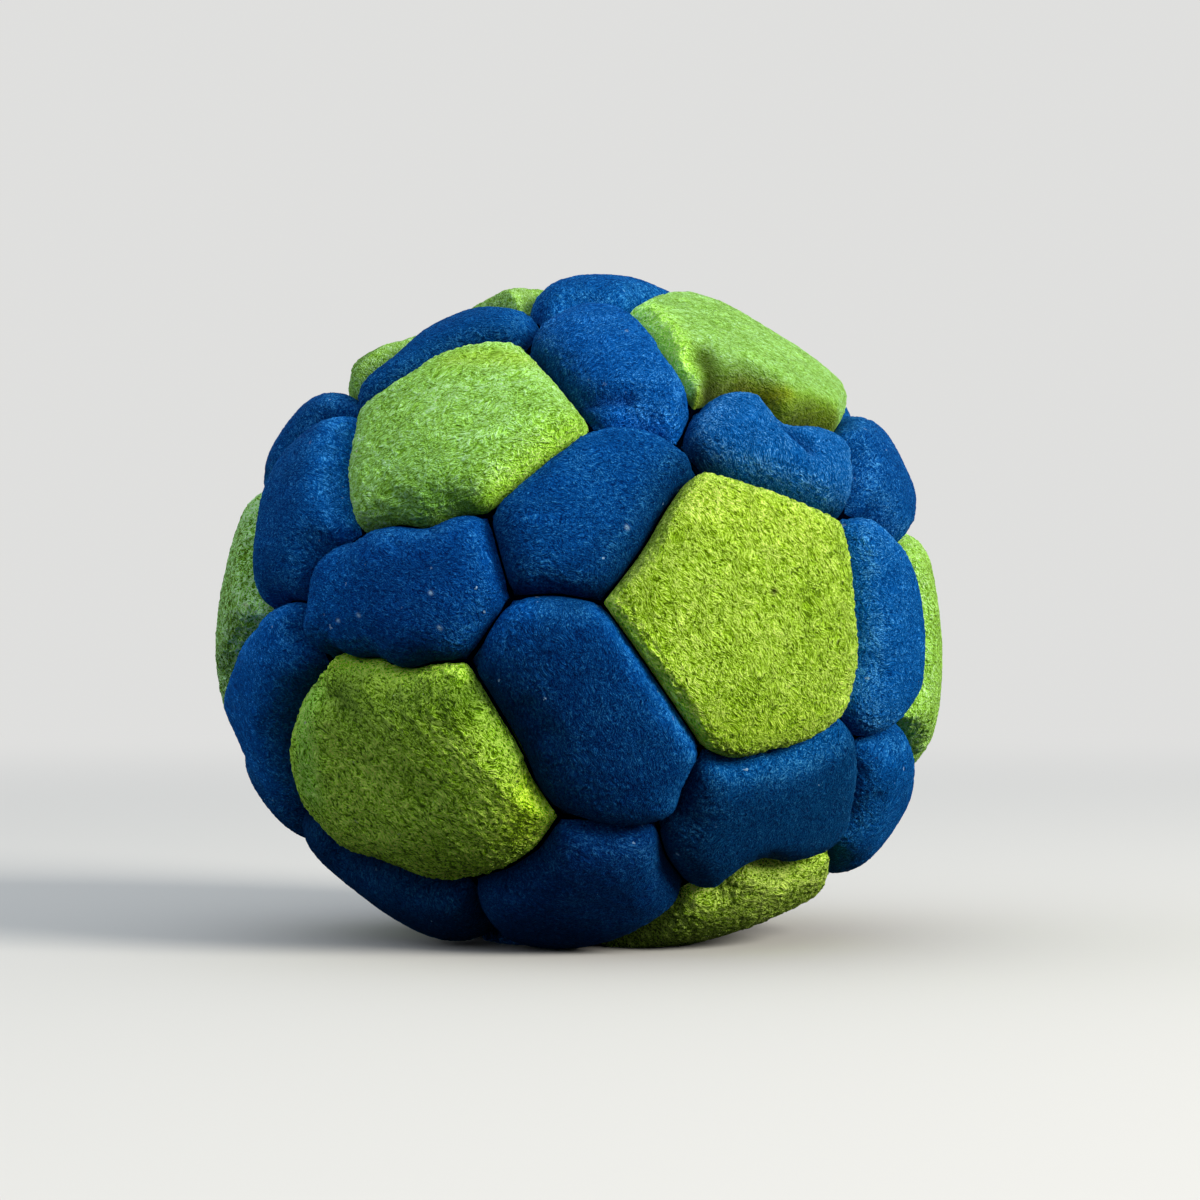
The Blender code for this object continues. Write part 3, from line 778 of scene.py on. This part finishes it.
def fluffed(outer, normals, skin, lean, seed, is_green, raggedness):
    """The outer skin's points with the nap's relief, and where each lies in the nap's own space."""
    middle, distance = skin["middle"], skin["distance"]
    places = skin["directions"] * MEAN_RADIUS
    along = unit(lean - middle * (middle @ lean))
    across = np.cross(middle, along)
    wander = [noise(places / NAP_WANDER_WIDTH, seed + 20 + axis) for axis in range(3)]
    moved = outer + NAP_WANDER * np.stack(wander, axis=1)
    clump = np.array(GREEN_CLUMP if is_green else BLUE_CLUMP)
    nap_places = np.stack((moved @ across, moved @ along, moved @ middle), axis=1) / clump
    nap_places = nap_places + seed % NAP_SPACE_SHIFTS
    gain, drop, fine_gain = NAP_MIX
    nap = np.abs(noise(nap_places, seed + 30)) * gain - drop
    nap = nap + noise(outer / FINE_NAP_WIDTH, seed + 31) * fine_gain
    lift, shoulder, reach = FLUFF
    fluff = 1 + lift * np.exp(-(((distance - shoulder) / reach) ** 2))
    height = GREEN_NAP_HEIGHT * raggedness**RAGGED_POWER if is_green else BLUE_NAP_HEIGHT
    nap *= height * np.clip(distance / NAP_START, LEAST_NAP_SHARE, 1) * fluff
    outer = outer + normals * nap[:, None]
    outer[:, 2] = np.maximum(outer[:, 2], 0)
    return outer, nap_places


def closed_body(outer, faces, last_start, skin, sides):
    """Points and triangles of a panel: its outer skin, turned-in allowance and inner skin."""
    outline, middle, crown = skin["outline"], skin["middle"], skin["crown"]
    count = sides * RING_COUNT
    inner_outline = slerp(outline, middle[None], SUEDE_THICKNESS / skin["distance"][0])
    slope = slerp(inner_outline, middle[None], INNER_SLOPE_SHARE)
    inner_crown = slerp(inner_outline, middle[None], INNER_CROWN_SHARE)
    rings = [
        skin_points(outline, np.minimum(skin["rise"][last_start:], -FOLD_DEPTH / 2), 0),
        skin_points(outline, -SEAM_ALLOWANCE, 0),
        skin_points(inner_outline, -SEAM_ALLOWANCE, SUEDE_THICKNESS / 2),
        skin_points(inner_outline, INNER_RIM_RISE, SUEDE_THICKNESS),
        skin_points(slope, INNER_SLOPE_RISE, SUEDE_THICKNESS),
        skin_points(inner_crown, crown - SUEDE_THICKNESS * INNER_CROWN_DROP, SUEDE_THICKNESS),
    ]
    points, all_faces = [outer], [faces]
    previous, total = last_start, len(outer)
    for ring in rings:
        points.append(ring)
        all_faces.append(ring_faces(previous, total, count))
        previous = total
        total += count
    points.append(skin_points(middle[None], crown - SUEDE_THICKNESS * INNER_MIDDLE_DROP, SUEDE_THICKNESS))
    index = np.arange(count)
    all_faces.append(np.stack((np.full(count, total), previous + (index + 1) % count, previous + index), axis=1))
    return np.concatenate(points) + BAG_SHIFT, np.concatenate(all_faces)


def mesh_of(name, points, faces):
    mesh = bpy.data.meshes.new(name)
    mesh.vertices.add(len(points))
    mesh.vertices.foreach_set("co", points.astype(np.float32).ravel())
    mesh.loops.add(faces.size)
    mesh.loops.foreach_set("vertex_index", faces.astype(np.int32).ravel())
    mesh.polygons.add(len(faces))
    mesh.polygons.foreach_set("loop_start", np.arange(0, faces.size, 3, dtype=np.int32))
    mesh.update(calc_edges=True)
    mesh.shade_smooth()
    return mesh


def add_field(mesh, name, kind, key, values):
    """An attribute with values for the outer skin's points, and zeros for the rest."""
    field = np.zeros((len(mesh.vertices), *values.shape[1:]), dtype=np.float32)
    field[: len(values)] = values
    mesh.attributes.new(name, kind, "POINT").data.foreach_set(key, field.ravel())


def panel_dyes_and_light(name, skin, tone_and_light, raggedness, count):
    """Each point's dye factor, much of it painted light and shade, with the nap's raggedness as the fourth
    value.
    """
    letters, directions = letters_of(name), skin["directions"]
    paleness_and_sky_light = PANEL_PALENESS_AND_SKY_LIGHT.get(letters, 0)
    # The lean to a paler, bluer green is partly painted sky light
    dye = np.array(tone_and_light) * ((1 - paleness_and_sky_light) + paleness_and_sky_light * np.array(SKY_LIT_PALE_GREEN))
    dyes_and_light = np.tile(np.append(dye, raggedness).astype(np.float32), (count, 1))
    dyes_and_light[: len(directions), :3] *= rim_light_and_shade(name, skin["gaps"])
    for panel, first, last, half_width, factors in DIRT_AND_PAINTED_LIGHT_BANDS:
        if panel == letters:
            cover = band_cover(directions, first, last, half_width)
            dyes_and_light[: len(directions), :3] *= 1 + (np.array(factors) - 1) * cover[:, None]
    return dyes_and_light


def make_panel(name, names, all_corners, material, seed, shifts):
    sides = len(names)
    letters = letters_of(name)
    is_green = name.startswith("green")
    skin = panel_skin(name, names, all_corners, seed, RING_COUNT)
    directions, distance = skin["directions"], skin["distance"]
    rng = np.random.default_rng(seed + 1)
    outer = skin_points(directions, skin["rise"], 0)
    if shifts is not None:
        moves = carried_shifts(shifts, sides, RING_COUNT)
        outward = (moves * directions).sum(axis=1, keepdims=True) * directions
        outer = outer + outward + (moves - outward) * np.clip(distance / SLIDE_START, 0, 1)[:, None]
    faces, last_start = sector_faces(sides, RING_COUNT)
    normals = vertex_normals(outer, faces)
    lean = NAP_LEAN.get(letters, rng.normal(size=3))
    raggedness = PANEL_RAGGEDNESS.get(letters, 1)
    outer, nap_places = fluffed(outer, normals, skin, lean, seed, is_green, raggedness)
    points, all_faces = closed_body(outer, faces, last_start, skin, sides)

    mesh = mesh_of("fine_" + name, points, all_faces)
    add_field(mesh, "nap_place", "FLOAT_VECTOR", "vector", nap_places)
    shoulder, reach = SHOULDER_BAND
    add_field(mesh, "shoulder", "FLOAT", "value", np.exp(-(((distance - shoulder) / reach) ** 2)))
    # The panel's tone is partly its dye and partly painted light and shade
    tone_and_light = PANEL_TONES_AND_LIGHT.get(letters, rng.uniform(*TONE_RANGE))
    add_field(mesh, "dye", "FLOAT_COLOR", "color", panel_dyes_and_light(name, skin, tone_and_light, raggedness, len(points)))
    lint = np.zeros(len(directions), dtype=np.float32)
    for x, y in LINT_PIXELS:
        lint += band_cover(directions, (x, y), (x + 1, y + 1), LINT_RADIUS)
    add_field(mesh, "lint", "FLOAT", "value", lint)
    mesh.materials.append(material)
    piece = add_object("fine_" + name, mesh)
    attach(piece, "root")
    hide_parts(name)


def add_object(name, data):
    item = bpy.data.objects.new(name, data)
    scene.collection.objects.link(item)
    return item


def feed(socket, value):
    """Give an input a plain value or another node's result."""
    if isinstance(value, bpy.types.NodeSocket):
        socket.id_data.links.new(value, socket)
    else:
        socket.default_value = value


def add_node(tree, kind, inputs=None, **settings):
    """A node with its settings, and some of its inputs by name or number."""
    node = tree.nodes.new("ShaderNode" + kind)
    for key, value in settings.items():
        setattr(node, key, value)
    for key, value in (inputs or {}).items():
        feed(node.inputs[key], value)
    return node


def maths(tree, operation, *values, clamp=False):
    """A Math node's result, from sockets and plain numbers."""
    inputs = dict(enumerate(values))
    return add_node(tree, "Math", inputs, operation=operation, use_clamp=clamp).outputs[0]


def noise_node(tree, vector, scale, detail, roughness, distortion=0):
    inputs = {"Vector": vector, "Scale": scale, "Detail": detail, "Roughness": roughness,
              "Distortion": distortion}
    return add_node(tree, "TexNoise", inputs).outputs["Fac"]


def colour_ramp(tree, factor, stops):
    node = add_node(tree, "ValToRGB", {"Fac": factor})
    elements = node.color_ramp.elements
    while len(elements) < len(stops):
        elements.new(0.5)
    for element, (position, colour) in zip(elements, stops):
        element.position = position
        element.color = (*colour, 1)
    return node.outputs["Color"]


def mix_colours(tree, blend, factor, first, second):
    node = add_node(tree, "Mix", {"Factor": factor}, data_type="RGBA", blend_type=blend)
    sockets = [socket for socket in node.inputs if socket.type == "RGBA"]
    for socket, value in zip(sockets, (first, second)):
        feed(socket, (*value, 1) if isinstance(value, tuple) else value)
    return next(socket for socket in node.outputs if socket.type == "RGBA")


def mesh_field(tree, name):
    """What a mesh says of each point, as the outputs of a node."""
    return add_node(tree, "Attribute", attribute_name=name).outputs


def own_place(tree):
    return add_node(tree, "TexCoord").outputs["Object"]


def new_material(name, values):
    """A material with its node tree and its shader, some of whose inputs are given."""
    material = bpy.data.materials.new(name)
    material.use_nodes = True
    shader = material.node_tree.nodes["Principled BSDF"]
    for key, value in values.items():
        shader.inputs[key].default_value = value
    return material, material.node_tree, shader


def fleck_cover(tree, place, share):
    """One inside loose flecks of lint of several sizes, and zero outside them."""
    wander = add_node(tree, "TexNoise", {"Vector": place, "Scale": FLECK_WANDER_SCALE})
    drift = {0: wander.outputs["Color"], "Scale": FLECK_WANDER}
    drift = add_node(tree, "VectorMath", drift, operation="SCALE").outputs[0]
    bent = add_node(tree, "VectorMath", {0: place, 1: drift}, operation="ADD").outputs[0]
    cells = add_node(tree, "TexVoronoi", {"Vector": bent, "Scale": FLECK_SCALE}, feature="F1").outputs
    parts = add_node(tree, "SeparateColor", {"Color": cells["Color"]}).outputs
    chosen = maths(tree, "GREATER_THAN", parts["Red"], 1 - share)
    reach = maths(tree, "MULTIPLY_ADD", parts["Blue"], *FLECK_REACH)
    near = maths(tree, "LESS_THAN", cells["Distance"], reach)
    return maths(tree, "MULTIPLY", maths(tree, "MULTIPLY", chosen, near), parts["Green"])


def make_suede(name, look):
    """Napped suede: fluffy leaning clumps with short dark slits, loose flecks and soft blotches, darker where
    its bumps are low.
    """
    values = {"Roughness": 0.95, "Specular IOR Level": 0.03, "Sheen Weight": look["sheen"],
              "Sheen Roughness": 0.25, "Sheen Tint": (*look["sheen_tint"], 1)}
    material, tree, shader = new_material(name, values)
    place = own_place(tree)
    field = mesh_field(tree, "nap_place")["Vector"]
    dye = mesh_field(tree, "dye")
    clumps = noise_node(tree, field, 1.05, 4, 0.65, 0.6)
    strands = noise_node(tree, field, 0.85, 1, 0.5, 1.0)
    curls = maths(tree, "ABSOLUTE", maths(tree, "SUBTRACT", strands, 0.5))
    curls = maths(tree, "MULTIPLY_ADD", curls, -5.0, 1.0, clamp=True)
    fibres = noise_node(tree, field, 2.6, 2, 0.6, 0.4)
    tufts = noise_node(tree, field, 1.9, 2, 0.6, 0.9)
    slits = maths(tree, "MULTIPLY_ADD", tufts, 4.5, -1.5, clamp=True)
    grain = noise_node(tree, place, 9000, 2, 0.6)
    blotches = noise_node(tree, place, 330, 3, 0.55)
    patches = noise_node(tree, place, 95, 2, 0.5)

    # Each layer makes the hide lighter or darker by its weight, and the slits make it mostly darker. The bumps
    # below follow the same layers, so the colour is lighter on tufts and darker in pits and slits: partly
    # painted nap shade
    light = maths(tree, "MULTIPLY_ADD", slits, look["slit_depth"], -look["slit_depth"] * 0.7)
    for layer, weight in ((clumps, 0.9), (fibres, 0.7), (curls, look["curl_lift"]), (grain, 0.35),
                          (blotches, 0.35), (patches, 0.14)):
        light = maths(tree, "ADD", light, maths(tree, "MULTIPLY_ADD", layer, weight, -weight / 2))
    # A raggeder panel's colour varies more, partly as painted shade of its nap where little lamp light falls
    light = maths(tree, "MULTIPLY_ADD", light, dye["Alpha"], 0.5)
    # The shoulder is lifted lighter, partly for its fluffed nap and partly as a painted sheen
    shoulder = maths(tree, "MULTIPLY", mesh_field(tree, "shoulder")["Fac"], look["shoulder_fluff_and_sheen_lift"])
    light = maths(tree, "ADD", light, shoulder)
    # The mesh's dye, which also holds the panels' painted light and shade, multiplies the hide's colour
    colour = mix_colours(tree, "MULTIPLY", 1, colour_ramp(tree, light, look["stops"]), dye["Color"])
    flecks = fleck_cover(tree, place, look["fleck_share"])
    flecks = maths(tree, "MAXIMUM", flecks, mesh_field(tree, "lint")["Fac"], clamp=True)
    colour = mix_colours(tree, "MIX", flecks, colour, look["fleck"])
    feed(shader.inputs["Base Color"], colour)

    height = clumps
    for layer, weight in ((slits, 0.2), (fibres, 0.7), (curls, 0.3), (grain, 0.25)):
        height = maths(tree, "MULTIPLY_ADD", layer, weight, height)
    bump = add_node(tree, "Bump", {"Height": height, "Strength": 1, "Distance": look["nap_height"]})
    feed(shader.inputs["Normal"], bump.outputs["Normal"])
    return material


def make_thread_material():
    """Dark waxed thread, mottled by its plies, made near black partly as painted shade of its groove."""
    material, tree, shader = new_material("waxed_thread", {"Roughness": 0.8, "Specular IOR Level": 0.0})
    plies = noise_node(tree, own_place(tree), 5200, 2, 0.5)
    feed(shader.inputs["Base Color"], colour_ramp(tree, plies, THREAD_AND_GROOVE_SHADE_STOPS))
    return material


def make_pellet_material():
    """Small rounded plastic pellets, packed close, with painted shade where they show in a seam's gap."""
    material, tree, shader = new_material("plastic_pellets", {"Roughness": 0.45})
    cells = {"Vector": own_place(tree), "Scale": PELLET_SCALE}
    cells = add_node(tree, "TexVoronoi", cells, feature="F1").outputs["Distance"]
    # Painted shade: the pellets turn near black round the place where they show in a seam's gap
    dark_place = skin_points(placed_direction(DARK_FILL_PIXEL)[None], 0, 0)[0] + BAG_SHIFT
    away = {0: add_node(tree, "NewGeometry").outputs["Position"], 1: dark_place.tolist()}
    away = add_node(tree, "VectorMath", away, operation="DISTANCE").outputs["Value"]
    in_dark = maths(tree, "LESS_THAN", away, DARK_FILL_RADIUS)
    colour = mix_colours(tree, "MIX", in_dark, colour_ramp(tree, cells, PELLET_STOPS), FILL_PAINTED_SHADE_COLOUR)
    feed(shader.inputs["Base Color"], colour)
    bump = add_node(tree, "Bump", {"Height": cells, "Distance": PELLET_RELIEF}, invert=True)
    feed(shader.inputs["Normal"], bump.outputs["Normal"])
    return material


def add_area_light(name, position, target, size, power, colour):
    data = bpy.data.lights.new(name, "AREA")
    data.shape = "DISK"
    data.size = size
    data.energy = power
    data.color = colour
    lamp = add_object(name, data)
    lamp.location = position
    lamp.rotation_euler = (Vector(target) - Vector(position)).to_track_quat("-Z", "Y").to_euler()


def seen_rays(tree):
    """One for a ray that the camera sees straight on, in a gloss or through glass, and zero for all others."""
    path = add_node(tree, "LightPath").outputs
    seen = maths(tree, "MAXIMUM", path["Is Camera Ray"], path["Is Glossy Ray"])
    return maths(tree, "MAXIMUM", seen, path["Is Transmission Ray"])


def make_floor():
    """A pale floor that keeps the bag's shadow and fades into the backdrop further off."""
    mesh = bpy.data.meshes.new("floor")
    corners = [(x * FLOOR_REACH, y * FLOOR_REACH, 0) for x, y in ((-1, -1), (1, -1), (1, 1), (-1, 1))]
    mesh.from_pydata(corners, [], [(0, 1, 2, 3)])
    floor = add_object("floor", mesh)
    material, tree, shader = new_material("floor_paper", {"Roughness": 0.9, "Specular IOR Level": 0.1})
    seen = seen_rays(tree)
    feed(shader.inputs["Base Color"], mix_colours(tree, "MIX", seen, FLOOR_BOUNCE_COLOUR, FLOOR_COLOUR))
    away = add_node(tree, "VectorMath", {0: own_place(tree)}, operation="LENGTH").outputs["Value"]
    fading = {"Value": away, "From Min": FLOOR_FADE[0], "From Max": FLOOR_FADE[1]}
    fading = add_node(tree, "MapRange", fading, interpolation_type="SMOOTHERSTEP").outputs["Result"]
    plain = add_node(tree, "Emission", {"Color": (*BACKDROP_COLOUR, 1)})
    far = maths(tree, "MULTIPLY", fading, seen)
    mix = add_node(tree, "MixShader", {0: far, 1: shader.outputs[0], 2: plain.outputs[0]})
    feed(tree.nodes["Material Output"].inputs["Surface"], mix.outputs[0])
    mesh.materials.append(material)


def make_world():
    """A plain pale backdrop for the camera. The light is a soft sky, brighter at the left, over dark ground."""
    world = bpy.data.worlds.new("studio")
    scene.world = world
    world.use_nodes = True
    tree = world.node_tree
    towards = add_node(tree, "TexCoord").outputs["Generated"]
    parts = add_node(tree, "SeparateXYZ", {0: towards}).outputs
    sky = colour_ramp(tree, maths(tree, "MULTIPLY_ADD", parts["Z"], 0.5, 0.5), SKY_STOPS)
    left = maths(tree, "MULTIPLY_ADD", parts["X"], -SKY_LEFT_SHARE, 1)
    shaded = add_node(tree, "VectorMath", {0: sky, "Scale": left}, operation="SCALE").outputs[0]
    colour = mix_colours(tree, "MIX", seen_rays(tree), shaded, BACKDROP_COLOUR)
    feed(tree.nodes["Background"].inputs["Color"], colour)


def make_camera():
    data = bpy.data.cameras.new("camera")
    data.sensor_width = 36
    data.lens = VIEW_FOCAL_PIXELS / IMAGE_PIXELS * data.sensor_width
    data.shift_x = (IMAGE_PIXELS / 2 - VIEW_CENTRE_PIXEL[0]) / IMAGE_PIXELS
    data.shift_y = (VIEW_CENTRE_PIXEL[1] - IMAGE_PIXELS / 2) / IMAGE_PIXELS
    data.clip_start = 0.01
    camera = add_object("camera", data)
    camera.location = BAG_SHIFT + np.array((0, -VIEW_DISTANCE_SHARE * HALF_SIZES[0], CENTRE_HEIGHT))
    camera.rotation_euler = (math.pi / 2, 0, 0)
    scene.camera = camera


make_camera()
make_world()
make_floor()
add_area_light("key", *KEY_LIGHT)
green = make_suede("green_suede_nap", GREEN_LOOK)
blue = make_suede("blue_suede_nap", BLUE_LOOK)
for node_name, material in (("seam_thread", make_thread_material()), ("pellet_fill", make_pellet_material())):
    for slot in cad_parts[node_name].material_slots:
        slot.material = material
panels, corner_directions = panel_corner_names()
seeds = {panel_name: SEED_STEP * number + SEED_START for number, panel_name in enumerate(panels)}
swells = swell_by_cloth(panels, corner_directions, seeds)
for panel_name, corner_names in panels.items():
    suede = green if panel_name.startswith("green") else blue
    make_panel(panel_name, corner_names, corner_directions, suede, seeds[panel_name], swells.get(panel_name))

scene.view_settings.view_transform = "Standard"
